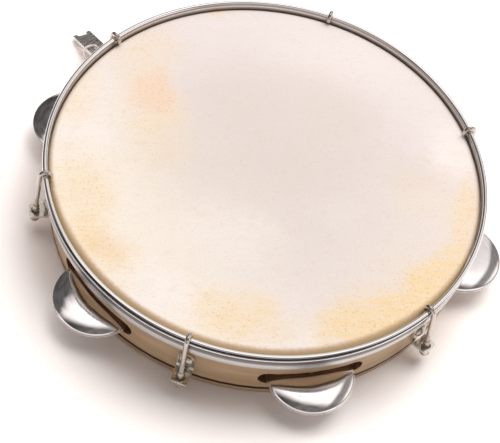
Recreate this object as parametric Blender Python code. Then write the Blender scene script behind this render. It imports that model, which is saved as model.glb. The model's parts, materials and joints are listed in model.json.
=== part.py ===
"""Frame drum with jingles: plywood shell, skin head, chromed counter hoop,
six hook tensioners, five jingle sets and a tuning key on a wire clip."""

import math

import bmesh
import bpy
from mathutils import Matrix, Vector

MM = 0.001

# ---- driving dimensions, millimetres and degrees -------------------------
RING_SEGS = 80

SHELL_OUTER_R = 147.7
SHELL_INNER_R = 140.3
WALL_MID_R = 144.0
INLAY_LOW_Z = 5.1
INLAY_HIGH_Z = 6.7
INLAY_DEPTH = 1.3
GAP = 0.3

HEAD_TOP_Z = 47.9
HEAD_THICK = 0.6

SLOT_LOW_Z = 12.8
SLOT_HIGH_Z = 25.3
SLOT_LENGTH = 70.0

JINGLE_ANGLES = (353.4, 292.5, 231.5, 170.5, 112.5)
JINGLE_R = 29.0
JINGLE_HOLE_R = 2.0
DISC_R = 28.2
PIN_R = 1.5
PIN_LOW_Z = 1.0
PIN_HIGH_Z = 35.5
PIN_TWIST = 11.0
LOWER_BOTTOM_Z = 13.1
LOWER_RIM_Z = 16.3
DISC_LOW_Z = 16.6
DISC_THICK = 0.5
UPPER_RIM_Z = 17.4
CUP_THICK = 0.7
UPPER_RISE = 4.6

HOOK_ANGLES = (26.6, 82.0, 147.6, 200.2, 260.7, 323.5)
BRACKET_ANGLES = (26.6, 82.0, 147.6, 200.7, 260.9, 324.0)
ROD_R = 1.5
ROD_FOOT_R = 157.6
ROD_FOOT_Z = 16.0
ROD_TOP_R = 154.15
ROD_TOP_Z = 52.0
ROD_TAIL = 9.6
HOOK_ARCH_R = 3.55
HOOK_TIP = 0.8

BRACKET_WIDTH = 11.7
BRACKET_NOSE = 10.7
BRACKET_THICK = 1.8
BRACKET_FACE_R = 148.0
BRACKET_BASE_Z = 15.1
BRACKET_OUTER_R = 161.8
BEND_R = 2.3
ROD_HOLE_R = 3.2
SCREW_Z = 24.8
SCREW_SHANK_R = 2.0
SCREW_HEAD_R = 4.8
SCREW_HEAD_RISE = 2.3
SCREW_DEPTH_R = 142.6

NUT_ACROSS = 6.6
NUT_TOP = -2.35
NUT_LOW = -9.0
NUT_BORE_R = 1.56
COLLAR_R = 2.35
COLLAR_TOP = 6.0

CLIP_HOOK = 2
CLIP_WIRE_R = 0.95
CLIP_EYE_U = 157.46
CLIP_EYE_Z = 17.2
CLIP_EYE_R = 3.65
CLIP_Z = 14.4
KEY_HOLE_U = 177.6
KEY_HOLE_V = -8.4
KEY_HOLE_Z = 12.4
KEY_TURN = -16.0
KEY_DROOP = -19.5
KEY_WIDTH = 14.0
KEY_THICK = 1.2
KEY_FORE = 27.4
KEY_AFT = 5.0
KEY_HOLE_R = 2.0
KEY_FLANGE = 3.0
KEY_JAW = 7.2
KEY_JAW_DEPTH = 3.4

CENTRE_SHIFT_X = -0.51

# ---- start clean ---------------------------------------------------------
for old in list(bpy.data.objects):
    bpy.data.objects.remove(old, do_unlink=True)

SCENE = bpy.context.scene


# ---- materials -----------------------------------------------------------
def make_material(name, colour, metallic, roughness):
    mat = bpy.data.materials.new(name)
    mat.use_nodes = True
    shader = mat.node_tree.nodes["Principled BSDF"]
    shader.inputs["Base Color"].default_value = (*colour, 1.0)
    shader.inputs["Metallic"].default_value = metallic
    shader.inputs["Roughness"].default_value = roughness
    mat.diffuse_color = (*colour, 1.0)
    return mat


MAPLE = make_material("maple", (0.62, 0.42, 0.25), 0.0, 0.45)
DARK_WOOD = make_material("dark_wood", (0.07, 0.035, 0.02), 0.0, 0.5)
HIDE = make_material("hide", (0.86, 0.76, 0.64), 0.0, 0.6)
CHROME = make_material("chrome", (0.80, 0.80, 0.82), 1.0, 0.12)
NICKEL = make_material("nickel", (0.70, 0.67, 0.62), 1.0, 0.22)
STEEL = make_material("steel", (0.55, 0.54, 0.53), 1.0, 0.35)


# ---- helpers -------------------------------------------------------------
def finish_object(name, bm, mat, location, angle=math.radians(35.0)):
    """Close the mesh, turn it outwards and link it under its node name."""
    bmesh.ops.recalc_face_normals(bm, faces=bm.faces)
    if bm.calc_volume(signed=True) < 0.0:
        bmesh.ops.reverse_faces(bm, faces=bm.faces)
    mesh = bpy.data.meshes.new(name)
    bm.to_mesh(mesh)
    bm.free()
    mesh.materials.append(mat)
    smooth_by_angle(mesh, angle)
    obj = bpy.data.objects.new(name, mesh)
    SCENE.collection.objects.link(obj)
    obj.location = location
    return obj


def smooth_by_angle(mesh, angle):
    mesh.polygons.foreach_set("use_smooth", [True] * len(mesh.polygons))
    mesh.set_sharp_from_angle(angle=angle)


def polar(radius, degrees, z):
    a = math.radians(degrees)
    return Vector((radius * math.cos(a), radius * math.sin(a), z)) * MM


def lathe(name, profile, segs, mat, location=(0.0, 0.0, 0.0), twist=0.0):
    """Turn a closed (radius, height) outline in millimetres about local Z."""
    bm = bmesh.new()
    rings = []
    for radius, z in profile:
        if radius < 1e-6:
            rings.append([bm.verts.new((0.0, 0.0, z * MM))])
            continue
        ring = []
        for k in range(segs):
            a = 2.0 * math.pi * k / segs + twist
            x = radius * math.cos(a) * MM
            y = radius * math.sin(a) * MM
            ring.append(bm.verts.new((x, y, z * MM)))
        rings.append(ring)
    count = len(rings)
    for i in range(count):
        first = rings[i]
        second = rings[(i + 1) % count]
        if len(first) == 1 and len(second) == 1:
            continue
        for k in range(segs):
            m = (k + 1) % segs
            if len(first) == 1:
                bm.faces.new((first[0], second[k], second[m]))
            elif len(second) == 1:
                bm.faces.new((first[k], second[0], first[m]))
            else:
                bm.faces.new((first[k], second[k], second[m], first[m]))
    return finish_object(name, bm, mat, location)


def prism(outline, low, high, axes):
    """Extrude a closed outline; axes gives the two plane axes and the third."""
    bm = bmesh.new()
    across, up, along = axes
    ends = []
    for depth in (low, high):
        ends.append([bm.verts.new((across * a + up * b + along * depth) * MM)
                     for a, b in outline])
    count = len(outline)
    for k in range(count):
        m = (k + 1) % count
        bm.faces.new((ends[0][k], ends[0][m], ends[1][m], ends[1][k]))
    bm.faces.new(ends[0][::-1])
    bm.faces.new(ends[1])
    return bm


def circle(centre_a, centre_b, radius, segs, twist=0.0):
    out = []
    for k in range(segs):
        a = 2.0 * math.pi * k / segs + twist
        out.append((centre_a + radius * math.cos(a), centre_b + radius * math.sin(a)))
    return out


X = Vector((1.0, 0.0, 0.0))
Y = Vector((0.0, 1.0, 0.0))
Z = Vector((0.0, 0.0, 1.0))


def cutter(name, bm):
    obj = finish_object(name, bm, STEEL, (0.0, 0.0, 0.0))
    obj.hide_render = True
    obj.display_type = "WIRE"
    return obj


def cut(target, tools, operation="DIFFERENCE"):
    """Apply each tool to the target and leave one plain mesh behind."""
    for tool in tools:
        mod = target.modifiers.new(tool.name, "BOOLEAN")
        mod.operation = operation
        mod.solver = "EXACT"
        mod.object = tool
    bpy.context.view_layer.update()
    graph = bpy.context.evaluated_depsgraph_get()
    shaped = target.evaluated_get(graph)
    mesh = bpy.data.meshes.new_from_object(shaped, depsgraph=graph)
    target.modifiers.clear()
    old_mesh = target.data
    target.data = mesh
    bpy.data.meshes.remove(old_mesh)
    mesh.name = target.name
    for tool in tools:
        bpy.data.objects.remove(tool, do_unlink=True)
    bm = bmesh.new()
    bm.from_mesh(mesh)
    bmesh.ops.recalc_face_normals(bm, faces=bm.faces)
    bm.to_mesh(mesh)
    bm.free()
    smooth_by_angle(mesh, math.radians(35.0))
    return target


def smooth_path(points, steps):
    """Catmull-Rom curve through the points, ends included."""
    pts = [Vector(p) for p in points]
    full = [pts[0] * 2.0 - pts[1]] + pts + [pts[-1] * 2.0 - pts[-2]]
    out = []
    for i in range(1, len(full) - 2):
        p0, p1, p2, p3 = full[i - 1:i + 3]
        for k in range(steps):
            t = k / steps
            out.append(0.5 * (2.0 * p1 + (p2 - p0) * t
                              + (2.0 * p0 - 5.0 * p1 + 4.0 * p2 - p3) * t * t
                              + (3.0 * p1 - p0 - 3.0 * p2 + p3) * t ** 3))
    out.append(pts[-1])
    return out


def tube(points, radius, sides, round_start=True, round_end=True):
    """Round wire along a path in millimetres, both ends closed."""
    pts = [Vector(p) for p in points]
    radii = [radius] * len(pts)
    if round_start:
        d = (pts[0] - pts[1]).normalized()
        pts = [pts[0] + d * radius * 0.75, pts[0] + d * radius * 0.5] + pts
        radii = [radius * 0.45, radius * 0.85] + radii
    if round_end:
        d = (pts[-1] - pts[-2]).normalized()
        pts = pts + [pts[-1] + d * radius * 0.5, pts[-1] + d * radius * 0.75]
        radii = radii + [radius * 0.85, radius * 0.45]
    bm = bmesh.new()
    tangent = (pts[1] - pts[0]).normalized()
    side = tangent.cross(Y)
    if side.length < 0.2:
        side = tangent.cross(X)
    side.normalize()
    rings = []
    for i, p in enumerate(pts):
        nxt = pts[min(i + 1, len(pts) - 1)]
        prv = pts[max(i - 1, 0)]
        tangent = (nxt - prv).normalized()
        side = (side - tangent * side.dot(tangent)).normalized()
        other = tangent.cross(side)
        ring = []
        for k in range(sides):
            a = 2.0 * math.pi * k / sides
            offset = side * math.cos(a) + other * math.sin(a)
            ring.append(bm.verts.new((p + offset * radii[i]) * MM))
        rings.append(ring)
    for i in range(len(rings) - 1):
        for k in range(sides):
            m = (k + 1) % sides
            bm.faces.new((rings[i][k], rings[i][m], rings[i + 1][m], rings[i + 1][k]))
    bm.faces.new(rings[0][::-1])
    bm.faces.new(rings[-1])
    return bm


def turn_to(obj, degrees):
    """Carry an object built on +X round the drum axis."""
    obj.matrix_world = Matrix.Rotation(math.radians(degrees), 4, "Z") @ obj.matrix_world


# ---- shell with jingle slots, pin holes and screw holes ------------------
shell_outline = [
    (SHELL_INNER_R, 0.6),
    (SHELL_INNER_R + 0.6, 0.0),
    (SHELL_OUTER_R - 0.6, 0.0),
    (SHELL_OUTER_R, 0.6),
    (SHELL_OUTER_R, INLAY_LOW_Z - 0.05),
    (SHELL_OUTER_R - INLAY_DEPTH, INLAY_LOW_Z - 0.05),
    (SHELL_OUTER_R - INLAY_DEPTH, INLAY_HIGH_Z + 0.05),
    (SHELL_OUTER_R, INLAY_HIGH_Z + 0.05),
    (SHELL_OUTER_R, 44.5),
    (SHELL_OUTER_R - 0.1, 45.6),
    (SHELL_OUTER_R - 0.7, 46.4),
    (SHELL_OUTER_R - 1.7, 46.85),
    (SHELL_OUTER_R - 2.9, 47.0),
    (143.0, 46.5),
    (SHELL_INNER_R, 44.4),
]
shell = lathe("shell", shell_outline, RING_SEGS, MAPLE)

shell_tools = []
slot_half = SLOT_LENGTH / 2.0
slot_r = (SLOT_HIGH_Z - SLOT_LOW_Z) / 2.0
slot_mid = (SLOT_HIGH_Z + SLOT_LOW_Z) / 2.0
slot_outline = []
for k in range(7):
    a = -math.pi / 2.0 + math.pi * k / 6.0
    slot_outline.append((slot_half - slot_r + slot_r * math.cos(a),
                         slot_mid + slot_r * math.sin(a)))
for k in range(7):
    a = math.pi / 2.0 + math.pi * k / 6.0
    slot_outline.append((-slot_half + slot_r + slot_r * math.cos(a),
                         slot_mid + slot_r * math.sin(a)))
for i, degrees in enumerate(JINGLE_ANGLES):
    tool = cutter("slot_cut_%d" % (i + 1), prism(slot_outline, 128.0, 154.0, (Y, Z, X)))
    turn_to(tool, degrees)
    shell_tools.append(tool)
    bore = circle(WALL_MID_R, 0.0, PIN_R + 0.05, 12, math.radians(PIN_TWIST))
    tool = cutter("pin_cut_%d" % (i + 1), prism(bore, -2.0, PIN_HIGH_Z + 0.4, (X, Y, Z)))
    turn_to(tool, degrees)
    shell_tools.append(tool)
for i, degrees in enumerate(BRACKET_ANGLES):
    bore = circle(0.0, SCREW_Z, SCREW_SHANK_R + 0.12, 14)
    tool = cutter("screw_cut_%d" % (i + 1),
                  prism(bore, SCREW_DEPTH_R - 0.3, 152.0, (Y, Z, X)))
    turn_to(tool, degrees)
    shell_tools.append(tool)
cut(shell, shell_tools)

# ---- dark line let into the shell ----------------------------------------
lathe("inlay_line", [
    (SHELL_OUTER_R, INLAY_HIGH_Z),
    (SHELL_OUTER_R, INLAY_LOW_Z),
    (SHELL_OUTER_R - INLAY_DEPTH + 0.1, INLAY_LOW_Z),
    (SHELL_OUTER_R - INLAY_DEPTH + 0.1, INLAY_HIGH_Z),
], RING_SEGS, DARK_WOOD)

# ---- head: playing face, rolled edge and short collar --------------------
low = HEAD_TOP_Z - HEAD_THICK
lathe("drumhead", [
    (0.0, HEAD_TOP_Z),
    (95.0, HEAD_TOP_Z),
    (144.8, HEAD_TOP_Z),
    (146.7, HEAD_TOP_Z - 0.35),
    (148.0, HEAD_TOP_Z - 1.1),
    (148.6, HEAD_TOP_Z - 2.1),
    (148.6, HEAD_TOP_Z - 3.3),
    (147.95, HEAD_TOP_Z - 3.3),
    (147.95, HEAD_TOP_Z - 2.2),
    (147.35, HEAD_TOP_Z - 1.3),
    (146.3, low - 0.15),
    (144.8, low),
    (95.0, low),
    (0.0, low),
], RING_SEGS, HIDE)

# ---- flesh hoop under the counter hoop -----------------------------------
lathe("flesh_hoop", [
    (150.1, 46.3),
    (150.1, 42.6),
    (149.0, 42.6),
    (149.0, 46.3),
], RING_SEGS, STEEL)

# ---- counter hoop: rolled bead over a plain band -------------------------
lathe("counter_hoop", [
    (150.6, 53.4),
    (151.7, 53.0),
    (152.4, 51.7),
    (152.3, 50.4),
    (151.6, 49.85),
    (152.25, 49.2),
    (151.9, 48.5),
    (151.9, 38.9),
    (151.5, 38.6),
    (150.4, 38.6),
    (150.4, 46.7),
    (148.95, 46.7),
    (148.95, 51.8),
    (149.5, 52.95),
], RING_SEGS, CHROME)

# ---- jingle sets ---------------------------------------------------------
upper_outline = []
dome_radii = (JINGLE_HOLE_R, 11.5, 18.5, 24.0, 27.6)
for r in dome_radii:
    rise = (UPPER_RISE - CUP_THICK) * (1.0 - (r / 27.6) ** 2.7)
    upper_outline.append((r, rise + CUP_THICK))
upper_outline.append((JINGLE_R - 0.2, CUP_THICK))
upper_outline.append((JINGLE_R, CUP_THICK * 0.6))
upper_outline.append((JINGLE_R, 0.0))
for r in (27.2, 22.5, 14.0, JINGLE_HOLE_R):
    rise = (UPPER_RISE - CUP_THICK) * (1.0 - (r / 27.2) ** 2.7)
    upper_outline.append((r, rise))

lower_rise = LOWER_RIM_Z - LOWER_BOTTOM_Z
lower_outline = []
for r in (JINGLE_HOLE_R, 16.0, 27.2):
    depth = (lower_rise - CUP_THICK) * (1.0 - (r / 27.2) ** 2.7)
    lower_outline.append((r, -depth))
lower_outline.append((JINGLE_R, 0.0))
lower_outline.append((JINGLE_R, -CUP_THICK))
for r in (27.6, 16.0, JINGLE_HOLE_R):
    depth = (lower_rise - CUP_THICK) * (1.0 - (r / 27.6) ** 2.7)
    lower_outline.append((r, -depth - CUP_THICK))

disc_outline = [
    (DISC_R, DISC_THICK),
    (DISC_R, 0.0),
    (JINGLE_HOLE_R, 0.0),
    (JINGLE_HOLE_R, DISC_THICK),
]
pin_outline = [
    (0.0, PIN_HIGH_Z - PIN_LOW_Z),
    (PIN_R, PIN_HIGH_Z - PIN_LOW_Z),
    (PIN_R, 0.0),
    (0.0, 0.0),
]
for i, degrees in enumerate(JINGLE_ANGLES):
    tag = i + 1
    turn = math.radians(degrees + PIN_TWIST)
    lathe("jingle_upper_%d" % tag, upper_outline, 36, CHROME,
          polar(WALL_MID_R, degrees, UPPER_RIM_Z))
    lathe("jingle_disc_%d" % tag, disc_outline, 28, STEEL,
          polar(WALL_MID_R, degrees, DISC_LOW_Z))
    lathe("jingle_lower_%d" % tag, lower_outline, 28, CHROME,
          polar(WALL_MID_R, degrees, LOWER_RIM_Z))
    lathe("jingle_pin_%d" % tag, pin_outline, 12, STEEL,
          polar(WALL_MID_R, degrees, PIN_LOW_Z), twist=turn)


# ---- tension hooks -------------------------------------------------------
def rod_frame(foot_degrees, top_degrees):
    """Frame on a rod's axis, level with its bracket: Z up the rod, X outwards."""
    foot = polar(ROD_FOOT_R, foot_degrees, ROD_FOOT_Z)
    top = polar(ROD_TOP_R, top_degrees, ROD_TOP_Z)
    up = (top - foot).normalized()
    out = polar(1.0, top_degrees, 0.0)
    out = (out - up * out.dot(up)).normalized()
    frame = Matrix((out, up.cross(out), up)).transposed().to_4x4()
    frame.translation = foot
    return frame, (top - foot).length / MM


def hook_path(length):
    """Straight rod, then half a turn inwards over the hoop and a short tip."""
    path = [(0.0, 0.0, -ROD_TAIL), (0.0, 0.0, length)]
    for k in range(1, 11):
        a = math.pi * k / 10.0
        path.append((-HOOK_ARCH_R + HOOK_ARCH_R * math.cos(a), 0.0,
                     length + HOOK_ARCH_R * math.sin(a)))
    path.append((-2.0 * HOOK_ARCH_R, 0.0, length - HOOK_TIP))
    return path


# ---- brackets ------------------------------------------------------------
def bracket_path():
    """Centre line of the bent strip, from the leg's top to the shelf's edge."""
    leg_u = BRACKET_FACE_R + BRACKET_THICK / 2.0
    path = [(leg_u, SCREW_Z + BRACKET_WIDTH / 2.0 + 0.6)]
    for k in range(6):
        a = math.pi + (math.pi / 2.0) * k / 5.0
        path.append((leg_u + BEND_R + BEND_R * math.cos(a),
                     BRACKET_BASE_Z + BEND_R + BEND_R * math.sin(a)))
    path.append((BRACKET_OUTER_R + 0.5, BRACKET_BASE_Z))
    return path


def strip(path, width, thick):
    """Rectangular strip bent along a path in the X-Z plane."""
    bm = bmesh.new()
    sections = []
    count = len(path)
    for i in range(count):
        p = Vector(path[i])
        a = Vector(path[max(i - 1, 0)])
        b = Vector(path[min(i + 1, count - 1)])
        d = (b - a).normalized()
        n = Vector((-d.y, d.x)) * (thick / 2.0)
        corners = []
        for side, v in ((1.0, -0.5), (1.0, 0.5), (-1.0, 0.5), (-1.0, -0.5)):
            q = p + n * side
            corners.append(bm.verts.new(Vector((q.x, v * width, q.y)) * MM))
        sections.append(corners)
    for i in range(count - 1):
        for k in range(4):
            m = (k + 1) % 4
            bm.faces.new((sections[i][k], sections[i][m],
                          sections[i + 1][m], sections[i + 1][k]))
    bm.faces.new(sections[0])
    bm.faces.new(sections[-1][::-1])
    return bm


def make_bracket(name, degrees):
    body = finish_object(name, strip(bracket_path(), BRACKET_WIDTH + 1.0, BRACKET_THICK),
                         NICKEL, (0.0, 0.0, 0.0))
    half = BRACKET_WIDTH / 2.0
    nose = BRACKET_NOSE / 2.0
    corner = 1.2
    edge = [(146.0, half), (152.0, half)]
    for k in range(4):
        a = math.pi / 2.0 * (1.0 - k / 3.0)
        edge.append((BRACKET_OUTER_R - corner + corner * math.cos(a),
                     nose - corner + corner * math.sin(a)))
    plan = edge + [(u, -v) for u, v in reversed(edge)]
    shape = cutter(name + "_plan", prism(plan, 5.0, 40.0, (X, Y, Z)))
    cut(body, [shape], "INTERSECT")
    rod_hole = cutter(name + "_rod_hole",
                      prism(circle(ROD_FOOT_R + 0.1, 0.0, ROD_HOLE_R, 24),
                            BRACKET_BASE_Z - 2.0, BRACKET_BASE_Z + 2.0, (X, Y, Z)))
    screw_hole = cutter(name + "_screw_hole",
                        prism(circle(0.0, SCREW_Z, SCREW_SHANK_R + 0.2, 12),
                              147.0, 151.0, (Y, Z, X)))
    crown = [(half + 1.0, SCREW_Z), (half + 1.0, SCREW_Z + half + 2.0),
             (-half - 1.0, SCREW_Z + half + 2.0), (-half - 1.0, SCREW_Z)]
    for k in range(13):
        a = math.pi - math.pi * k / 12.0
        crown.append((half * math.cos(a), SCREW_Z + half * math.sin(a)))
    rounding = cutter(name + "_rounding", prism(crown, 147.0, 151.0, (Y, Z, X)))
    cut(body, [rod_hole, screw_hole, rounding])
    turn_to(body, degrees)
    return body


def make_screw(name, degrees):
    """Domed head against the leg, plain shank into the wood."""
    face = BRACKET_FACE_R + BRACKET_THICK + 0.15
    outline = [
        (0.0, face + SCREW_HEAD_RISE),
        (SCREW_HEAD_R * 0.5, face + SCREW_HEAD_RISE * 0.86),
        (SCREW_HEAD_R * 0.82, face + SCREW_HEAD_RISE * 0.5),
        (SCREW_HEAD_R, face + 0.5),
        (SCREW_HEAD_R, face),
        (SCREW_SHANK_R, face),
        (SCREW_SHANK_R, SCREW_DEPTH_R + 0.8),
        (0.0, SCREW_DEPTH_R),
    ]
    body = lathe(name, outline, 14, NICKEL)
    upright = Matrix.Rotation(math.pi / 2.0, 4, "Y")
    raise_up = Matrix.Translation(Vector((0.0, 0.0, SCREW_Z * MM)))
    spin = Matrix.Rotation(math.radians(degrees), 4, "Z")
    body.data.transform(spin @ raise_up @ upright)
    return body


def make_nut(name):
    """Six-sided nut with a domed lower end and a collar up through the shelf."""
    bm = bmesh.new()
    corner = NUT_ACROSS / math.sqrt(3.0)
    flat = NUT_ACROSS / 2.0
    bore = NUT_BORE_R / math.cos(math.pi / 12.0)
    sections = (
        (bore, bore, NUT_LOW),
        (flat - 0.95, flat - 0.95, NUT_LOW),
        (flat - 0.3, flat - 0.3, NUT_LOW + 0.5),
        (corner, flat, NUT_LOW + 1.6),
        (corner, flat, NUT_TOP - 0.4),
        (flat - 0.1, flat - 0.1, NUT_TOP),
        (COLLAR_R, COLLAR_R, NUT_TOP),
        (COLLAR_R, COLLAR_R, COLLAR_TOP - 0.3),
        (COLLAR_R - 0.3, COLLAR_R - 0.3, COLLAR_TOP),
        (bore, bore, COLLAR_TOP),
    )
    rings = []
    for even, odd, z in sections:
        ring = []
        for k in range(12):
            a = math.pi * k / 6.0
            r = odd if k % 2 else even
            ring.append(bm.verts.new(Vector((r * math.cos(a), r * math.sin(a), z)) * MM))
        rings.append(ring)
    for i in range(len(rings)):
        first = rings[i]
        second = rings[(i + 1) % len(rings)]
        for k in range(12):
            m = (k + 1) % 12
            bm.faces.new((first[k], second[k], second[m], first[m]))
    return finish_object(name, bm, NICKEL, (0.0, 0.0, 0.0))


for i, degrees in enumerate(BRACKET_ANGLES):
    tag = i + 1
    frame, rod_length = rod_frame(degrees, HOOK_ANGLES[i])
    hook = finish_object("hook_%d" % tag, tube(hook_path(rod_length), ROD_R, 10), NICKEL,
                         (0.0, 0.0, 0.0), math.radians(50.0))
    hook.matrix_world = frame
    nut = make_nut("tension_nut_%d" % tag)
    nut.matrix_world = frame
    make_bracket("bracket_%d" % tag, degrees)
    make_screw("bracket_screw_%d" % tag, degrees)

# ---- wire clip that holds the tuning key to one hook ---------------------
clip_degrees = BRACKET_ANGLES[CLIP_HOOK]
clip_points = []
for k in range(10):
    a = math.radians(310.0) - math.radians(290.0) * (9 - k) / 9.0
    clip_points.append((CLIP_EYE_R * math.cos(a), CLIP_EYE_R * math.sin(a), CLIP_EYE_Z))
run = smooth_path([
    (5.2, -1.4, CLIP_EYE_Z),
    (8.5, 3.6, CLIP_EYE_Z - 0.5),
    (13.5, 6.8, CLIP_Z + 0.5),
    (18.5, 6.3, CLIP_Z),
    (22.8, 3.2, CLIP_Z),
    (24.8, -1.4, CLIP_Z),
    (23.7, -5.8, CLIP_Z),
    (21.4, -7.9, CLIP_Z),
    (20.3, -8.4, CLIP_Z - 1.3),
    (20.14, -8.4, CLIP_Z - 3.0),
    (20.14, -8.4, CLIP_Z - 6.0),
], 2)
clip_points.extend([tuple(p) for p in run])
clip = finish_object("key_clip", tube(clip_points, CLIP_WIRE_R, 8), NICKEL,
                     (0.0, 0.0, 0.0), math.radians(50.0))
tail = cutter("clip_tail", tube([(22.9, 2.9, CLIP_Z), (26.5, 3.3, CLIP_Z),
                                 (31.1, 3.9, CLIP_Z)], CLIP_WIRE_R, 8, False, True))
cut(clip, [tail], "UNION")
clip.location = polar(CLIP_EYE_U, clip_degrees, 0.0)
clip.rotation_euler = (0.0, 0.0, math.radians(clip_degrees))

# ---- tuning key: notched plate with one folded edge ----------------------
half = KEY_WIDTH / 2.0
jaw = KEY_JAW / 2.0
plate = [
    (-KEY_AFT, -half + 2.0), (-KEY_AFT + 2.0, -half),
    (KEY_FORE, -half), (KEY_FORE, -jaw - 0.4),
    (KEY_FORE - KEY_JAW_DEPTH, -jaw + 0.6), (KEY_FORE - KEY_JAW_DEPTH, jaw - 0.6),
    (KEY_FORE, jaw + 0.4), (KEY_FORE, half),
    (-KEY_AFT, half),
]
key = finish_object("tuning_key",
                    prism(plate, -KEY_THICK / 2.0, KEY_THICK / 2.0, (X, Y, Z)),
                    NICKEL, (0.0, 0.0, 0.0))
fold = cutter("key_fold", prism([
    (half - KEY_THICK, -KEY_FLANGE), (half, -KEY_FLANGE),
    (half, KEY_THICK / 2.0 - 0.05), (half - KEY_THICK, KEY_THICK / 2.0 - 0.05),
], -KEY_AFT + 0.02, KEY_FORE - 0.02, (Y, Z, X)))
cut(key, [fold], "UNION")
hole = cutter("key_hole", prism(circle(0.0, 0.0, KEY_HOLE_R, 16), -3.0, 3.0, (X, Y, Z)))
cut(key, [hole])
key.matrix_world = (
    Matrix.Rotation(math.radians(clip_degrees), 4, "Z")
    @ Matrix.Translation(Vector((KEY_HOLE_U, KEY_HOLE_V, KEY_HOLE_Z)) * MM)
    @ Matrix.Rotation(math.radians(KEY_TURN), 4, "Z")
    @ Matrix.Rotation(math.radians(-KEY_DROOP), 4, "Y")
)
bpy.context.view_layer.update()

# ---- bring the middle of the whole outline onto the origin ---------------
shift = Matrix.Translation(Vector((CENTRE_SHIFT_X, 0.0, 0.0)) * MM)
for obj in SCENE.objects:
    obj.matrix_world = shift @ obj.matrix_world
bpy.context.view_layer.update()
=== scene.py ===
"""Looks for a headed tambourine: wooden shell, skin head under a chromed hoop,
wire tension hooks, jingle sets and a tuning key on a wire clip."""

import json
import math

import bmesh
import bpy
from mathutils import Matrix, Vector, noise


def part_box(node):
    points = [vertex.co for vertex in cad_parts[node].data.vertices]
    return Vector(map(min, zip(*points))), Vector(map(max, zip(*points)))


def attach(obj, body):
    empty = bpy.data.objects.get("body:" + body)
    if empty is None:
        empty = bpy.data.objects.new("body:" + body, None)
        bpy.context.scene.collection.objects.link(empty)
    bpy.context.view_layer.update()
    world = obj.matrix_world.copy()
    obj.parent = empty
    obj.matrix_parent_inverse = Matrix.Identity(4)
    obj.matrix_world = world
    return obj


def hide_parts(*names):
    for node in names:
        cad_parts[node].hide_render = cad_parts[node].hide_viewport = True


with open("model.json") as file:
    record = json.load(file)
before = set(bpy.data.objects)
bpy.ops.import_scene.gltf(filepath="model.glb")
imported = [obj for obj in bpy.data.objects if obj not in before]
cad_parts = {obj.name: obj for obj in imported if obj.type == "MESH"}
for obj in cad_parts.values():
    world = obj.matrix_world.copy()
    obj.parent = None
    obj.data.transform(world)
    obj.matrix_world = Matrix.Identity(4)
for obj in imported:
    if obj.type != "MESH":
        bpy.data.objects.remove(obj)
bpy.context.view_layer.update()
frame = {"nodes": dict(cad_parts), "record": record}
MM = 0.001

# ---- where things are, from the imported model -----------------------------
hoop_low, hoop_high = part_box("counter_hoop")
AXIS = Vector(((hoop_low[0] + hoop_high[0]) / 2.0, (hoop_low[1] + hoop_high[1]) / 2.0, 0.0))
JOINTS = {joint["name"]: joint for joint in frame["record"]["behaviour"]["joints"]}
HOOKS = range(1, 7)
JINGLES = range(1, 6)

# millimetres, about the drum's axis
SHELL_R = 148.0
HEAD_TOP_Z = 47.9
HEAD_UNDER_Z = 47.3
HEAD_FLAT_R = 144.8
HEAD_RINGS = 44
JINGLE_R = 29.0
HOLE_R = 2.0
CUP_THICK = 0.7
CUP_EDGE = 0.35
CUP_OUTSIDE = (28.55, 4.2)
CUP_INSIDE = (27.2, 3.6)
UPPER_RISE = 4.6
UPPER_RIM_Z = 17.4
LOWER_RIM_Z = 16.3
LOWER_BOTTOM_Z = 13.1
DISC_LOW_Z = 16.6
DISC_R = 28.2
DISC_THICK = 0.5
PIN_R = 1.5
ROD_R = 1.5
ROD_TAIL = 9.6
HOOK_ARCH_R = 3.55
HOOK_TIP = 0.8
ROD_TOP = (154.15, 52.0)
HOOK_ANGLES = (26.6, 82.0, 147.6, 200.2, 260.7, 323.5)
BRACKET_ANGLES = (26.6, 82.0, 147.6, 200.7, 260.9, 324.0)


# ---- mesh helpers ---------------------------------------------------------
def finish_mesh(name, bm, mat, matrix, angle=40.0):
    bmesh.ops.recalc_face_normals(bm, faces=bm.faces)
    if bm.calc_volume(signed=True) < 0.0:
        bmesh.ops.reverse_faces(bm, faces=bm.faces)
    mesh = bpy.data.meshes.new(name)
    bm.to_mesh(mesh)
    bm.free()
    mesh.materials.append(mat)
    mesh.polygons.foreach_set("use_smooth", [True] * len(mesh.polygons))
    mesh.set_sharp_from_angle(angle=math.radians(angle))
    obj = bpy.data.objects.new(name, mesh)
    bpy.context.scene.collection.objects.link(obj)
    obj.matrix_world = matrix
    return obj


def place(x, y, z):
    return Matrix.Translation(Vector((x, y, z)))


def arc(centre_r, centre_z, radius, first, last, steps):
    """Points of an arc in an outline, angles in degrees."""
    out = []
    for k in range(steps + 1):
        a = math.radians(first + (last - first) * k / steps)
        out.append((centre_r + radius * math.cos(a), centre_z + radius * math.sin(a)))
    return out


def straight(first, last, steps):
    return [(first[0] + (last[0] - first[0]) * k / steps,
             first[1] + (last[1] - first[1]) * k / steps) for k in range(steps)]


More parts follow.
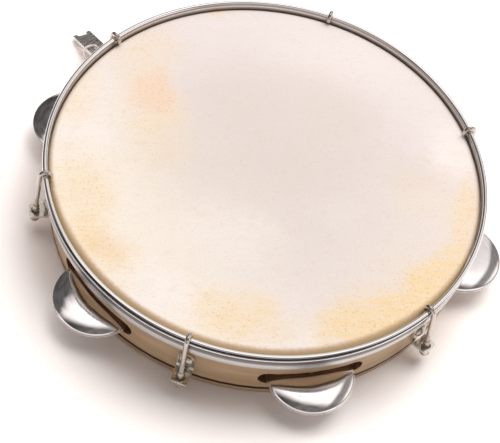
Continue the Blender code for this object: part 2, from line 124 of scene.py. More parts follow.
def lathe(name, outline, segs, mat, matrix, relief=None, closed=True, angle=40.0):
    """Turn a (radius, height) outline in millimetres about local Z."""
    bm = bmesh.new()
    rings = []
    for radius, z in outline:
        if radius < 1e-6:
            lift = relief(0.0, 0.0, z) if relief else 0.0
            rings.append([bm.verts.new((0.0, 0.0, (z + lift) * MM))])
            continue
        ring = []
        for k in range(segs):
            a = 2.0 * math.pi * k / segs
            x = radius * math.cos(a)
            y = radius * math.sin(a)
            lift = relief(x, y, z) if relief else 0.0
            ring.append(bm.verts.new(Vector((x, y, z + lift)) * MM))
        rings.append(ring)
    last = len(rings) if closed else len(rings) - 1
    for i in range(last):
        first = rings[i]
        second = rings[(i + 1) % len(rings)]
        if len(first) == 1 and len(second) == 1:
            continue
        for k in range(segs):
            m = (k + 1) % segs
            if len(first) == 1:
                bm.faces.new((first[0], second[k], second[m]))
            elif len(second) == 1:
                bm.faces.new((first[k], second[0], first[m]))
            else:
                bm.faces.new((first[k], second[k], second[m], first[m]))
    return finish_mesh(name, bm, mat, matrix, angle)


def tube(bm, points, radii, sides):
    """Closed round wire along points in millimetres, one radius a point."""
    pts = [Vector(p) for p in points]
    tangent = (pts[1] - pts[0]).normalized()
    side = tangent.cross(Vector((0.0, 1.0, 0.0)))
    if side.length < 0.2:
        side = tangent.cross(Vector((1.0, 0.0, 0.0)))
    side.normalize()
    rings = []
    for i, p in enumerate(pts):
        tangent = (pts[min(i + 1, len(pts) - 1)] - pts[max(i - 1, 0)]).normalized()
        side = (side - tangent * side.dot(tangent)).normalized()
        other = tangent.cross(side)
        ring = []
        for k in range(sides):
            a = 2.0 * math.pi * k / sides
            r = radii[i](a) if callable(radii[i]) else radii[i]
            ring.append(bm.verts.new((p + (side * math.cos(a) + other * math.sin(a)) * r) * MM))
        rings.append(ring)
    for i in range(len(rings) - 1):
        for k in range(sides):
            m = (k + 1) % sides
            bm.faces.new((rings[i][k], rings[i][m], rings[i + 1][m], rings[i + 1][k]))
    bm.faces.new(rings[0][::-1])
    bm.faces.new(rings[-1])


def round_ends(points, radius):
    """Adds a dome of rings at both ends of a wire; returns points and radii."""
    pts = [Vector(p) for p in points]
    start = (pts[0] - pts[1]).normalized()
    end = (pts[-1] - pts[-2]).normalized()
    head = []
    tail = []
    for k in (5, 4, 3, 2, 1):
        a = math.radians(15.0 * k)
        head.append((pts[0] + start * radius * 0.75 * math.sin(a), radius * math.cos(a)))
        tail.insert(0, (pts[-1] + end * radius * 0.75 * math.sin(a), radius * math.cos(a)))
    body = [(p, radius) for p in pts]
    both = head + body + tail
    return [p for p, r in both], [r for p, r in both]


def smooth_path(points, steps):
    """Catmull-Rom curve through the points, ends included."""
    pts = [Vector(p) for p in points]
    full = [pts[0] * 2.0 - pts[1]] + pts + [pts[-1] * 2.0 - pts[-2]]
    out = []
    for i in range(1, len(full) - 2):
        p0, p1, p2, p3 = full[i - 1:i + 3]
        for k in range(steps):
            t = k / steps
            out.append(0.5 * (2.0 * p1 + (p2 - p0) * t
                              + (2.0 * p0 - 5.0 * p1 + 4.0 * p2 - p3) * t * t
                              + (3.0 * p1 - p0 - 3.0 * p2 + p3) * t ** 3))
    out.append(pts[-1])
    return out


def stand_for(obj, body, slot, *nodes):
    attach(obj, body)
    if nodes:
        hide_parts(*nodes)


# ---- material helper --------------------------------------------------------
class Shade:
    """Builds one material; methods return output sockets."""

    def __init__(self, name, roughness=0.5, metallic=0.0):
        self.mat = bpy.data.materials.new(name)
        self.mat.use_nodes = True
        self.nodes = self.mat.node_tree.nodes
        self.links = self.mat.node_tree.links
        self.bsdf = self.nodes["Principled BSDF"]
        self.bsdf.inputs["Metallic"].default_value = metallic
        self.bsdf.inputs["Roughness"].default_value = roughness
        self.coords = self.nodes.new("ShaderNodeTexCoord").outputs["Object"]

    def feed(self, value, socket):
        if isinstance(value, bpy.types.NodeSocket):
            self.links.new(value, socket)
        elif isinstance(value, (tuple, list, Vector)) and socket.type == "RGBA":
            socket.default_value = (*value[:3], 1.0)
        else:
            socket.default_value = value

    def calc(self, operation, a, b=0.0, clamp=False):
        node = self.nodes.new("ShaderNodeMath")
        node.operation = operation
        node.use_clamp = clamp
        self.feed(a, node.inputs[0])
        self.feed(b, node.inputs[1])
        return node.outputs[0]

    def vector(self, operation, a, b):
        node = self.nodes.new("ShaderNodeVectorMath")
        node.operation = operation
        self.feed(a, node.inputs[0])
        self.feed(b, node.inputs[1])
        return node.outputs["Value" if operation in ("LENGTH", "DOT_PRODUCT") else "Vector"]

    def split(self, vec):
        node = self.nodes.new("ShaderNodeSeparateXYZ")
        self.feed(vec, node.inputs[0])
        return node.outputs

    def join(self, x, y, z):
        node = self.nodes.new("ShaderNodeCombineXYZ")
        for value, socket in zip((x, y, z), node.inputs):
            self.feed(value, socket)
        return node.outputs[0]

    def noise(self, vec, scale=1.0, detail=3.0, rough=0.5, distortion=0.0):
        node = self.nodes.new("ShaderNodeTexNoise")
        self.feed(vec, node.inputs["Vector"])
        node.inputs["Scale"].default_value = scale
        node.inputs["Detail"].default_value = detail
        node.inputs["Roughness"].default_value = rough
        node.inputs["Distortion"].default_value = distortion
        return node.outputs[0]

    def span(self, value, low, high, out_low=0.0, out_high=1.0, smooth=True):
        """Maps low..high to out_low..out_high, held at both ends."""
        node = self.nodes.new("ShaderNodeMapRange")
        node.interpolation_type = "SMOOTHSTEP" if smooth else "LINEAR"
        self.feed(value, node.inputs["Value"])
        for key, number in (("From Min", low), ("From Max", high),
                            ("To Min", out_low), ("To Max", out_high)):
            node.inputs[key].default_value = number
        return node.outputs[0]

    def blend(self, factor, a, b, mode="MIX"):
        node = self.nodes.new("ShaderNodeMix")
        node.data_type = "RGBA"
        node.blend_type = mode
        self.feed(factor, node.inputs[0])
        self.feed(a, node.inputs[6])
        self.feed(b, node.inputs[7])
        return node.outputs[2]

    def bump(self, height, distance, strength=1.0, over=None):
        node = self.nodes.new("ShaderNodeBump")
        node.inputs["Strength"].default_value = strength
        node.inputs["Distance"].default_value = distance
        self.feed(height, node.inputs["Height"])
        if over is not None:
            self.links.new(over, node.inputs["Normal"])
        return node.outputs[0]

    def colour(self, socket):
        self.links.new(socket, self.bsdf.inputs["Base Color"])

    def rough(self, socket):
        self.links.new(socket, self.bsdf.inputs["Roughness"])

    def normal(self, socket):
        self.links.new(socket, self.bsdf.inputs["Normal"])


def grained(shade, centre, along, across):
    """Coordinates that run slowly round a drum part and fast up and out of it."""
    local = shade.vector("SUBTRACT", shade.coords, centre)
    x, y, z = shade.split(local)
    flat = shade.join(x, y, 0.0)
    radius = shade.vector("LENGTH", flat, (0.0, 0.0, 0.0))
    return (shade.join(shade.calc("MULTIPLY", x, along), shade.calc("MULTIPLY", y, along),
                       shade.calc("MULTIPLY", shade.calc("ADD", z, radius), across)),
            radius, z)


# ---- materials ----------------------------------------------------------------
PLY_THICK = 0.00185


def make_maple():
    s = Shade("maple_lacquer", 0.38)
    centre = tuple(AXIS)
    broad, radius, z = grained(s, centre, 9.0, 120.0)
    fine, _, _ = grained(s, centre, 30.0, 900.0)
    figure = s.noise(broad, 1.0, 4.0, 0.55, 0.6)
    fibre = s.noise(fine, 1.0, 3.0, 0.6)
    tone = s.blend(s.span(figure, 0.35, 0.68), (0.52, 0.345, 0.19), (0.63, 0.44, 0.26))
    tone = s.blend(s.span(fibre, 0.55, 0.72, 0.0, 0.45), tone, (0.40, 0.24, 0.12))
    # cut faces of the slots and edges: end grain and glue lines between plies
    ply = s.calc("SINE", s.calc("MULTIPLY", radius, 2.0 * math.pi / PLY_THICK))
    inside = s.calc("MULTIPLY", s.span(radius, 0.1471, 0.1475, 1.0, 0.0),
                    s.span(radius, 0.1405, 0.1409, 0.0, 1.0))
    cut = s.blend(s.span(ply, 0.55, 0.9), (0.30, 0.145, 0.07), (0.13, 0.058, 0.028))
    tone = s.blend(inside, tone, cut)
    # the wood is darker in blotches towards the bottom edge
    grime = s.noise(s.coords, 34.0, 4.0, 0.6)
    darker_low_blotches = s.calc("MULTIPLY", s.span(grime, 0.5, 0.75), s.span(z, 0.0, 0.012, 0.45, 0.12))
    tone = s.blend(darker_low_blotches, tone, (0.33, 0.20, 0.11))
    seam = s.calc("MULTIPLY", s.span(z, 0.00440, 0.00470, 0.0, 1.0),
                  s.span(z, 0.00720, 0.00750, 1.0, 0.0))
    tone = s.blend(seam, tone, (0.035, 0.014, 0.006))
    s.colour(tone)
    s.rough(s.span(fibre, 0.3, 0.7, 0.30, 0.46))
    s.normal(s.bump(fibre, 0.00006, 0.6, s.bump(grime, 0.0003, 0.3)))
    s.bsdf.inputs["Coat Weight"].default_value = 0.25
    s.bsdf.inputs["Coat Roughness"].default_value = 0.18
    return s.mat


def make_dark_wood():
    s = Shade("dark_line_wood", 0.42)
    fine, _, _ = grained(s, tuple(AXIS), 25.0, 1200.0)
    fibre = s.noise(fine, 1.0, 3.0, 0.6)
    s.colour(s.blend(s.span(fibre, 0.35, 0.7), (0.022, 0.008, 0.004), (0.055, 0.022, 0.010)))
    s.rough(s.span(fibre, 0.3, 0.7, 0.60, 0.75))
    s.bsdf.inputs["Specular IOR Level"].default_value = 0.2
    s.normal(s.bump(fibre, 0.00005, 0.5))
    return s.mat


# stained and thin places of the hide: x, y, half-widths, turn and strength
TAN_PATCHES = (
    (-88, 34, 26, 34, 20, 0.40), (-104, 78, 34, 30, 60, 0.40), (-78, 0, 26, 38, 0, 0.30),
    (-114, -56, 24, 48, 18, 0.55), (-90, -96, 28, 18, -38, 0.75), (8, -124, 30, 24, 0, 0.70),
    (-18, -122, 14, 20, 8, 0.30), (96, -98, 50, 22, 38, 1.00), (124, -58, 40, 17, 60, 0.85),
    (140, -6, 42, 13, 88, 0.60), (66, -112, 26, 17, 25, 0.60), (-138, 20, 30, 12, 95, 0.30),
    (-61, 132, 9, 7, 0, 0.30), (104, -66, 78, 40, 50, 0.22), (110, 6, 36, 30, 0, 0.22),
)
PINK_PATCHES = (
    (38, 62, 50, 34, -20, 0.55), (18, 8, 46, 38, 0, 0.45), (-36, 52, 40, 44, 0, 0.40),
    (-40, -12, 46, 30, 0, 0.30), (104, 22, 40, 20, 0, 0.35),
)
ROSE_PATCHES = (
    (-88, 42, 20, 20, 20, 0.75), (-88, -92, 14, 16, -30, 0.35), (-61, 132, 8, 6, 0, 0.30),
)
PALE_PATCHES = (
    (-127, -14, 20, 26, 0, 0.95), (-52, -118, 30, 22, -10, 0.85), (128, 48, 22, 34, 20, 0.60),
    (52, -26, 22, 18, 0, 0.10), (-15, -62, 40, 24, 0, 0.40), (30, 110, 60, 30, 0, 0.20),
    (48, -126, 16, 12, 0, 0.40),
)


def patches(s, place_vec, table, edge):
    """Sum of soft-edged ovals, held at one."""
    total = None
    for x, y, wide, tall, turn, strength in table:
        a = math.radians(turn)
        local = s.vector("SUBTRACT", place_vec, (x * MM, y * MM, 0.0))
        across = s.vector("DOT_PRODUCT", local,
                          (math.cos(a) / (wide * MM), math.sin(a) / (wide * MM), 0.0))
        up = s.vector("DOT_PRODUCT", local,
                      (-math.sin(a) / (tall * MM), math.cos(a) / (tall * MM), 0.0))
        dist = s.vector("LENGTH", s.join(across, up, 0.0), (0.0, 0.0, 0.0))
        spot = s.span(dist, edge, 1.30, strength, 0.0)
        total = spot if total is None else s.calc("ADD", total, spot)
    return s.calc("MINIMUM", total, 1.0)


def make_hide():
    s = Shade("natural_hide", 0.52)
    x, y, _ = s.split(s.coords)
    flat = s.join(x, y, 0.0)
    radius = s.vector("LENGTH", flat, (0.0, 0.0, 0.0))
    wander = s.join(s.noise(flat, 30.0, 9.0, 0.68),
                    s.noise(s.vector("ADD", flat, (0.7, 0.2, 0.0)), 30.0, 9.0, 0.68), 0.0)
    moved = s.vector("ADD", flat,
                     s.vector("MULTIPLY", s.vector("SUBTRACT", wander, (0.5, 0.5, 0.0)),
                              (0.045, 0.045, 0.0)))
    cloud = s.noise(flat, 11.0, 5.0, 0.6)
    mottle = s.noise(flat, 130.0, 4.0, 0.65)
    tone = s.blend(s.span(cloud, 0.35, 0.65), (0.70, 0.65, 0.615), (0.72, 0.665, 0.63))
    tone = s.blend(s.span(radius, 0.045, 0.135, 0.0, 0.85), tone, (0.785, 0.725, 0.715))
    warm = s.span(s.calc("ADD", s.calc("MULTIPLY", x, -0.75), s.calc("MULTIPLY", y, -0.65)),
                  0.0, 0.13, 0.0, 0.70)
    tone = s.blend(warm, tone, (0.93, 0.86, 0.73))
    tone = s.blend(patches(s, moved, PINK_PATCHES, 0.1), tone, (0.69, 0.61, 0.575))
    tone = s.blend(patches(s, moved, PALE_PATCHES, 0.2), tone, (0.88, 0.83, 0.79))
    tan = patches(s, moved, TAN_PATCHES, 0.12)
    turned = s.join(s.vector("DOT_PRODUCT", flat, (60.0, 16.0, 0.0)),
                    s.vector("DOT_PRODUCT", flat, (-90.0, 330.0, 0.0)), 0.0)
    fibre = s.noise(turned, 1.0, 4.0, 0.65, 0.4)
    tan = s.calc("MULTIPLY", tan, s.span(fibre, 0.30, 0.66, 0.66, 1.08))
    tone = s.blend(s.calc("MULTIPLY", tan, s.span(mottle, 0.2, 0.8, 0.75, 1.0)),
                   tone, (0.86, 0.66, 0.36))
    tone = s.blend(s.span(fibre, 0.45, 0.70, 0.0, 0.07), tone, (0.62, 0.50, 0.38))
    rose = patches(s, moved, ROSE_PATCHES, 0.2)
    tone = s.blend(rose, tone, (0.84, 0.625, 0.47))
    tan = s.calc("MAXIMUM", tan, rose)
    tone = s.blend(s.span(mottle, 0.52, 0.75, 0.0, 0.16), tone, (0.62, 0.49, 0.36))
    fine = s.noise(flat, 900.0, 3.0, 0.6)
    tone = s.blend(s.span(fine, 0.42, 0.68, 0.0, 0.13), tone, (0.56, 0.43, 0.30))
    # hair pores and flecks, thicker where the hide is stained
    pores = s.noise(flat, 620.0, 2.0, 0.5)
    flecks = s.noise(flat, 250.0, 3.0, 0.7)
    dots = s.calc("MULTIPLY", s.span(pores, 0.60, 0.70),
                  s.calc("ADD", 0.16, s.calc("MULTIPLY", tan, 0.45)))
    tone = s.blend(dots, tone, (0.45, 0.29, 0.17))
    brown = s.calc("MULTIPLY", s.span(flecks, 0.63, 0.72),
                   s.calc("ADD", 0.08, s.calc("MULTIPLY", tan, 0.30)))
    tone = s.blend(brown, tone, (0.55, 0.33, 0.17))
    # the hide goes darker where it bends over the shell, and this band also carries painted shade
    # from the hoop, wider and stronger on the near side
    near = s.span(y, -0.02, -0.13, 0.0, 1.0)
    start = s.calc("ADD", radius, s.calc("MULTIPLY", near, 0.0040))
    fray = s.calc("MULTIPLY", s.calc("SUBTRACT", s.noise(flat, 420.0, 5.0, 0.7), 0.5), 0.0024)
    start = s.calc("ADD", start, fray)
    strength = s.span(y, 0.03, -0.07, 0.30, 1.0)
    rim_bend_and_shade = s.calc("MULTIPLY", s.span(start, 0.1444, 0.1484, 0.0, 0.92), strength)
    tone = s.blend(rim_bend_and_shade, tone, (0.47, 0.30, 0.16))
    edge = s.calc("MULTIPLY", s.span(start, 0.1470, 0.1500, 0.0, 0.9), strength)
    tone = s.blend(edge, tone, (0.35, 0.27, 0.15))
    s.colour(tone)
    s.rough(s.span(mottle, 0.3, 0.7, 0.44, 0.60))
    crepe = s.noise(s.vector("MULTIPLY", flat, (1.0, 1.8, 1.0)), 210.0, 4.0, 0.6, 0.8)
    low = s.bump(crepe, 0.0006, 0.30)
    s.normal(s.bump(pores, 0.00015, 0.35, low))
    s.bsdf.inputs["Specular IOR Level"].default_value = 0.35
    return s.mat


def make_chrome(name, tint, low, high, streaks, grime, ripple):
    """Polished plating with wiping marks along one direction and dull spots."""
    s = Shade(name, low, 1.0)
    along, across, depth = streaks
    lines, _, _ = grained(s, (0.0, 0.0, 0.0), along, across)
    line = s.noise(lines, 1.0, 3.0, 0.6)
    spots = s.noise(s.coords, 420.0, 4.0, 0.65)
    haze = s.noise(s.coords, 60.0, 4.0, 0.6)
    dull = s.calc("MAXIMUM", s.span(spots, 0.60, 0.72, 0.0, grime),
                  s.span(haze, 0.52, 0.75, 0.0, grime * 0.6))
    s.colour(s.blend(dull, tint, tuple(0.55 * c for c in tint)))
    s.rough(s.calc("ADD", s.span(line, 0.3, 0.7, low, high), s.calc("MULTIPLY", dull, 0.22)))
    s.normal(s.bump(line, depth, 0.5, s.bump(haze, ripple, 0.12)))
    return s.mat


def make_hoop_chrome():
    """Bright bead above a plain band left with fine lines by the rollers, with painted dark
    reflections under the bead and on its inner side, and painted shade at its inner foot.
    """
    s = Shade("hoop_chrome", 0.1, 1.0)
    lines, radius, z = grained(s, (0.0, 0.0, 0.0), 4.0, 900.0)
    broad, _, _ = grained(s, (0.0, 0.0, 0.0), 7.0, 620.0)
    line = s.noise(lines, 1.0, 4.0, 0.7)
    wide = s.noise(broad, 1.0, 3.0, 0.6)
    spots = s.noise(s.coords, 300.0, 4.0, 0.65)
    band = s.span(z, 0.0480, 0.0485, 1.0, 0.0)
    dull = s.span(spots, 0.60, 0.72, 0.0, 0.2)
    drawn = s.calc("MULTIPLY", band, s.span(wide, 0.35, 0.65, 0.0, 0.55))
    tone = s.blend(drawn, (0.90, 0.89, 0.89), (0.45, 0.43, 0.42))
    tone = s.blend(s.calc("MULTIPLY", band, 0.35), tone, (0.52, 0.50, 0.49))
    _, y, _ = s.split(s.coords)
    # painted dark reflection on the outer wall just under the bead, streaky and strongest on the
    # near side
    near_side_weight = s.span(y, -0.04, -0.11, 0.30, 1.0)
    wall_dark_reflection = s.calc("MULTIPLY", s.span(z, 0.0430, 0.0452, 0.0, 0.95),
                   s.span(z, 0.0484, 0.0487, 1.0, 0.0))
    streaky = s.span(wide, 0.30, 0.60, 1.0, 0.80)
    wall_dark_reflection = s.calc("MULTIPLY", wall_dark_reflection, s.calc("MULTIPLY", streaky, near_side_weight))
    # painted near-black reflection on the lower outer side of the bead, on the near side
    bead_dark_reflection = s.calc("MULTIPLY", s.span(z, 0.0499, 0.0502, 0.0, 1.0),
                   s.span(z, 0.0526, 0.0531, 1.0, 0.0))
    bead_dark_reflection = s.calc("MULTIPLY", bead_dark_reflection, s.span(y, -0.05, -0.10, 0.10, 1.0))
    outside = s.span(radius, 0.1511, 0.1514, 0.0, 1.0)
    tone = s.blend(s.calc("MULTIPLY", wall_dark_reflection, outside), tone, (0.11, 0.10, 0.10))
    tone = s.blend(s.calc("MULTIPLY", bead_dark_reflection, outside), tone, (0.02, 0.018, 0.018))
    # painted dark reflection in a line on the inner side of the bead
    within = s.span(radius, 0.1494, 0.1498, 1.0, 0.0)
    inner_dark_reflection = s.calc("MULTIPLY", s.span(z, 0.0504, 0.0509, 0.0, 0.75),
                  s.span(z, 0.0519, 0.0525, 1.0, 0.0))
    tone = s.blend(s.calc("MULTIPLY", within, inner_dark_reflection), tone, (0.14, 0.125, 0.12))
    # painted brown shade at the foot of the inner side, just above the hide
    foot = s.calc("MULTIPLY", within, s.span(z, 0.0490, 0.0497, 0.55, 0.0))
    tone = s.blend(foot, tone, (0.36, 0.31, 0.27))
    s.colour(s.blend(dull, tone, (0.45, 0.43, 0.41)))
    s.rough(s.calc("ADD", s.span(line, 0.3, 0.7, 0.06, 0.12),
                   s.calc("ADD", s.calc("MULTIPLY", band, 0.20), s.calc("MULTIPLY", dull, 0.2))))
    lift = s.calc("MULTIPLY", line, s.calc("ADD", 0.12, band))
    s.normal(s.bump(lift, 0.00004, 0.4))
    return s.mat


def make_pale_wire():
    """Tinned wire, dull and a little pink."""
    s = Shade("pale_wire", 0.34, 0.55)
    mottle = s.noise(s.coords, 500.0, 3.0, 0.6)
    s.colour(s.blend(s.span(mottle, 0.4, 0.7), (0.92, 0.85, 0.83), (0.78, 0.70, 0.68)))
    s.rough(s.span(mottle, 0.3, 0.7, 0.28, 0.42))
    return s.mat


PALE_WIRE = make_pale_wire()
MAPLE = make_maple()
DARK_WOOD = make_dark_wood()
HIDE = make_hide()
HOOP_CHROME = make_hoop_chrome()
JINGLE_CHROME = make_chrome("jingle_plate", (0.86, 0.835, 0.83), 0.07, 0.12,
                            (40.0, 1400.0, 0.00001), 0.22, 0.0002)
NICKEL = make_chrome("bright_nickel", (0.58, 0.53, 0.485), 0.11, 0.18,
                     (300.0, 500.0, 0.000002), 0.25, 0.00003)
THREAD = make_chrome("dull_thread", (0.48, 0.44, 0.39), 0.30, 0.42,
                     (300.0, 500.0, 0.000004), 0.50, 0.00003)
DULL_NICKEL = make_chrome("dull_nickel", (0.46, 0.42, 0.36), 0.24, 0.34,
                          (300.0, 500.0, 0.000003), 0.30, 0.00003)
PLATE = make_chrome("plate_nickel", (0.78, 0.73, 0.66), 0.12, 0.18,
                    (300.0, 500.0, 0.000001), 0.08, 0.00001)
KEY_PLATE = make_chrome("key_plate", (0.74, 0.70, 0.69), 0.24, 0.34,
                        (60.0, 700.0, 0.0000008), 0.04, 0.000002)
STEEL = make_chrome("plain_steel", (0.52, 0.50, 0.48), 0.25, 0.42,
                    (60.0, 1600.0, 0.00003), 0.50, 0.0001)

# ---- CAD nodes kept, with softened edges ---------------------------------------
def dress(node, mat, slot, width=0.0, segments=3):
    obj = frame["nodes"][node]
    obj.data.materials.clear()
    obj.data.materials.append(mat)
    if width:
        weld = obj.modifiers.new("weld", "WELD")
        weld.merge_threshold = 0.000004
        bevel = obj.modifiers.new("soft_edges", "BEVEL")
        bevel.width = width * MM
        bevel.segments = segments
        bevel.limit_method = "ANGLE"
        bevel.angle_limit = math.radians(38.0)
        bevel.use_clamp_overlap = True
        bevel.harden_normals = True
    return obj


dress("shell", MAPLE, "maple", 0.35)
dress("inlay_line", DARK_WOOD, "dark_wood")
dress("flesh_hoop", STEEL, "steel")
dress("tuning_key", KEY_PLATE, "nickel", 0.25)
for i in HOOKS:
    dress("bracket_%d" % i, PLATE, "nickel", 0.45)

# ---- counter hoop ---------------------------------------------------------------
hoop_outline = straight((148.95, 46.7), (148.95, 51.3), 4)
hoop_outline += arc(150.68, 51.6, 1.73, 180.0, -60.0, 22)
hoop_outline += arc(151.55, 49.15, 0.69, 80.0, -58.0, 10)
hoop_outline += straight((151.9, 48.35), (151.9, 39.1), 8)
hoop_outline += arc(151.4, 39.1, 0.5, 0.0, -90.0, 4)
hoop_outline += [(150.7, 38.6), (150.45, 38.75), (150.4, 39.0), (150.4, 43.0), (150.4, 46.6),
                 (150.3, 46.7)]


def hoop_relief(x, y, z):
    """Rolling leaves the hoop very slightly uneven round its run."""
    return 0.05 * noise.noise(Vector((x * 0.03, y * 0.03, 3.1)))


hoop = lathe("chromed_hoop", hoop_outline, 288, HOOP_CHROME, place(*AXIS), hoop_relief)
stand_for(hoop, "drum", "chrome", "counter_hoop")

# ---- head -------------------------------------------------------------------------
head_outline = [(0.0, HEAD_TOP_Z)]
for k in range(1, HEAD_RINGS + 1):
    head_outline.append((HEAD_FLAT_R * k / HEAD_RINGS, HEAD_TOP_Z))
head_outline += [(145.6, 47.82), (146.3, 47.66), (147.0, 47.36), (147.6, 46.98),
                 (148.05, 46.6), (148.4, 46.1), (148.58, 45.6), (148.6, 44.6),
                 (147.95, 44.6), (147.95, 45.7), (147.35, 46.6), (146.3, 47.15),
                 (HEAD_FLAT_R, HEAD_UNDER_Z)]
for k in range(HEAD_RINGS - 1, 0, -3):
    head_outline.append((HEAD_FLAT_R * k / HEAD_RINGS, HEAD_UNDER_Z))
head_outline.append((0.0, HEAD_UNDER_Z))


def head_relief(x, y, z):
    """Hide dries a little uneven; it is flat where it meets the shell."""
    r = math.hypot(x, y)
    fade = max(0.0, min(1.0, (143.0 - r) / 12.0))
    broad = noise.noise(Vector((x * 0.018, y * 0.018, 0.4)))
    small = noise.noise(Vector((x * 0.07, y * 0.07, 5.2)))
    return fade * (0.16 * broad + 0.035 * small)


head = lathe("hide_head", head_outline, 180, HIDE, place(*AXIS), head_relief)
stand_for(head, "drum", "hide", "drumhead")


# ---- jingles ------------------------------------------------------------------------
def dome(rise, side, steps, inner):
    """Outline of a cup that is flat in the middle and falls away to its edge."""
    edge, power = side
    out = []
    for k in range(steps + 1):
        r = inner + (edge - inner) * k / steps
        out.append((r, rise * (1.0 - (r / edge) ** power)))
    return out


def uneven(seed, amount):
    def relief(x, y, z):
        return amount * (noise.noise(Vector((x * 0.07, y * 0.07, seed)))
                         + 0.35 * noise.noise(Vector((x * 0.2, y * 0.2, seed + 9.0))))
    return relief


rise = UPPER_RISE - CUP_THICK
upper_outline = [(r, z + CUP_THICK) for r, z in dome(rise, CUP_OUTSIDE, 34, HOLE_R)]
upper_outline += arc(JINGLE_R - CUP_EDGE, CUP_THICK - CUP_EDGE, CUP_EDGE, 90.0, -90.0, 8)
upper_outline += [(JINGLE_R - 0.8, 0.0)]
upper_outline += [(r, z) for r, z in dome(rise, CUP_INSIDE, 18, HOLE_R)][::-1]
rise = LOWER_RIM_Z - LOWER_BOTTOM_Z - CUP_THICK
lower_outline = [(r, -z) for r, z in dome(rise, CUP_INSIDE, 18, HOLE_R)]
lower_outline += arc(JINGLE_R - CUP_EDGE, -CUP_EDGE, CUP_EDGE, 90.0, -90.0, 8)
lower_outline += [(r, -z - CUP_THICK) for r, z in dome(rise, CUP_OUTSIDE, 28, HOLE_R)][::-1]
disc_outline = [(HOLE_R, 0.0), (10.0, 0.0), (20.0, 0.0), (DISC_R - 0.15, 0.0), (DISC_R, 0.15),
                (DISC_R, DISC_THICK - 0.15), (DISC_R - 0.15, DISC_THICK), (20.0, DISC_THICK),
                (10.0, DISC_THICK), (HOLE_R, DISC_THICK)]
pin_outline = [(0.0, 34.5), (0.7, 34.45), (1.2, 34.2), (1.45, 33.8), (PIN_R, 33.3),
               (PIN_R, 24.0), (PIN_R, 12.0), (PIN_R, 1.0), (1.4, 0.4), (1.1, 0.08), (0.0, 0.0)]
for i in JINGLES:
    low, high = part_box("jingle_pin_%d" % i)
    x = (low[0] + high[0]) / 2.0
    y = (low[1] + high[1]) / 2.0
    top = lathe("jingle_top_%d" % i, upper_outline, 120, JINGLE_CHROME,
                place(x, y, UPPER_RIM_Z * MM), uneven(1.7 * i, 0.07), angle=60.0)
    stand_for(top, "jingle_upper_%d" % i, "chrome", "jingle_upper_%d" % i)
    mid = lathe("jingle_mid_%d" % i, disc_outline, 96, STEEL, place(x, y, DISC_LOW_Z * MM))
    stand_for(mid, "jingle_disc_%d" % i, "steel", "jingle_disc_%d" % i)
    base = lathe("jingle_base_%d" % i, lower_outline, 120, JINGLE_CHROME,
                 place(x, y, LOWER_RIM_Z * MM), uneven(1.7 * i + 0.6, 0.05), angle=60.0)
    stand_for(base, "jingle_lower_%d" % i, "chrome", "jingle_lower_%d" % i)
    pin = lathe("jingle_nail_%d" % i, pin_outline, 24, STEEL, place(x, y, low[2]), closed=False)
    stand_for(pin, "drum", "steel", "jingle_pin_%d" % i)


# ---- tension hooks, nuts and screws ------------------------------------------------
def rod_matrix(i):
    """Frame on a rod: Z up the rod, X outwards, origin at its foot."""
    joint = JOINTS["nut_turn_%d" % i]
    foot = Vector(joint["pos_m"])
    up = -Vector(joint["axis"]).normalized()
    a = math.radians(HOOK_ANGLES[i - 1])
    out = Vector((math.cos(a), math.sin(a), 0.0))
    out = (out - up * out.dot(up)).normalized()
    basis = Matrix((out, up.cross(out), up)).transposed().to_4x4()
    basis.translation = foot
    top = AXIS + Vector((ROD_TOP[0] * math.cos(a), ROD_TOP[0] * math.sin(a), ROD_TOP[1])) * MM
    return basis, (top - foot).length / MM


# heights on a rod, in millimetres above its foot
THREAD_TOP = 13.0
THREAD_LOOK_TOP = 13.2
SHANK_LOW = 13.8
THREAD_PITCH = 0.6
THREAD_DEPTH = 0.16
SHANK_R = 1.62


def thread_radius(z):
    def radius(a):
        wave = abs(((z / THREAD_PITCH + a / (2.0 * math.pi)) % 1.0) * 2.0 - 1.0)
        return ROD_R - THREAD_DEPTH * wave
    return radius


def make_hook(i):
    basis, length = rod_matrix(i)
    points = []
    radii = []
    for k in range(8):
        a = math.radians(75.0 - 75.0 * k / 7.0)
        points.append((0.0, 0.0, -ROD_TAIL - 1.1 * math.sin(a)))
        radii.append((ROD_R - 0.15) * math.cos(a))
    z = -ROD_TAIL
    while z < THREAD_TOP:
        z += THREAD_PITCH / 6.0
        points.append((0.0, 0.0, z))
        radii.append(thread_radius(z))
    for k in range(6):
        points.append((0.0, 0.0, SHANK_LOW + (length - SHANK_LOW) * k / 5.0))
        radii.append(SHANK_R)
    for k in range(1, 33):
        a = math.pi * k / 32.0
        points.append((-HOOK_ARCH_R + HOOK_ARCH_R * math.cos(a), 0.0,
                       length + HOOK_ARCH_R * math.sin(a)))
        radii.append(SHANK_R)
    tip = Vector((-2.0 * HOOK_ARCH_R, 0.0, length - HOOK_TIP))
    for k in range(7):
        a = math.radians(80.0 * k / 6.0)
        points.append(tip + Vector((0.0, 0.0, -SHANK_R * 0.75 * math.sin(a))))
        radii.append(SHANK_R * math.cos(a))
    bm = bmesh.new()
    tube(bm, points, radii, 28)
    hook = finish_mesh("wire_hook_%d" % i, bm, NICKEL, basis, 50.0)
    hook.data.materials.append(THREAD)
    for face in hook.data.polygons:
        if face.center.z < THREAD_LOOK_TOP * MM:
            face.material_index = 1
    return hook, basis


def hexagon(angle, flat, corner_cut):
    """Radius of a six-sided outline at an angle, its corners turned off."""
    a = (angle + math.pi / 6.0) % (math.pi / 3.0) - math.pi / 6.0
    return min(flat / math.cos(a), corner_cut)


